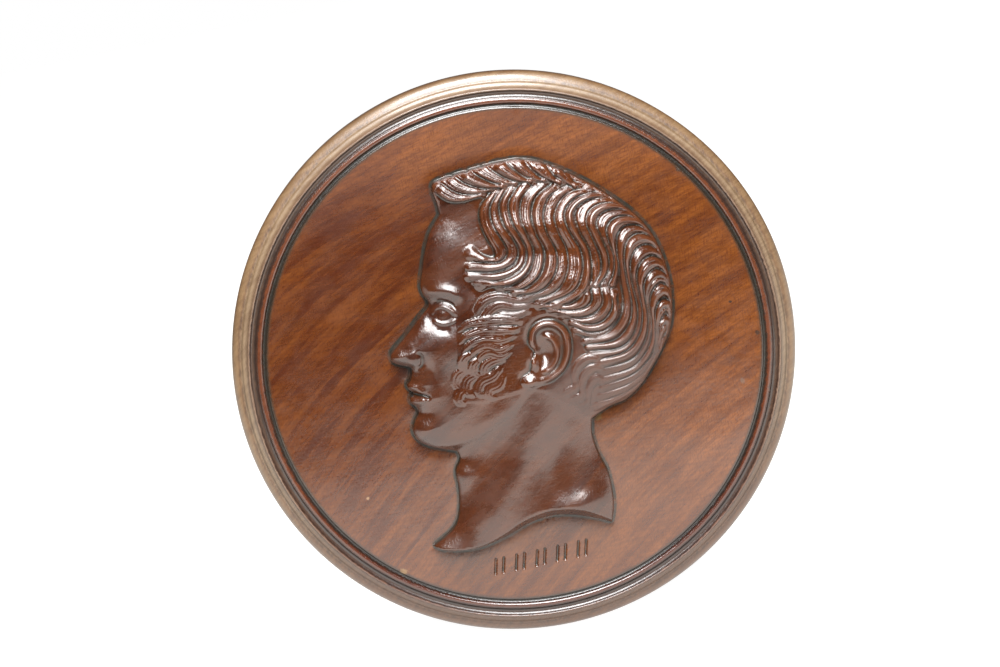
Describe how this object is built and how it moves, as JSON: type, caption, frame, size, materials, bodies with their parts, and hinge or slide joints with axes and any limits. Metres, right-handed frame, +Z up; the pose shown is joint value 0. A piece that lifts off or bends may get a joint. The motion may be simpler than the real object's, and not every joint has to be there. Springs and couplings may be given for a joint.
{
  "type": "relief roundel",
  "caption": "Small round wooden wall roundel with a turned, moulded rim and a carved head in profile with wavy hair and side whiskers.",
  "frame": {"origin": "middle of the flat back, where it meets the wall", "axes": "+Z up as it hangs, +Y out of the back into the wall, so the carved front faces -Y"},
  "size_m": [0.12, 0.0182, 0.12],
  "materials": {
    "mahogany": "dark red-brown hardwood, polished to a gloss, with grey dirt in the hollows"
  },
  "bodies": {
    "root": {"roundel": "mahogany"}
  },
  "joints": []
}
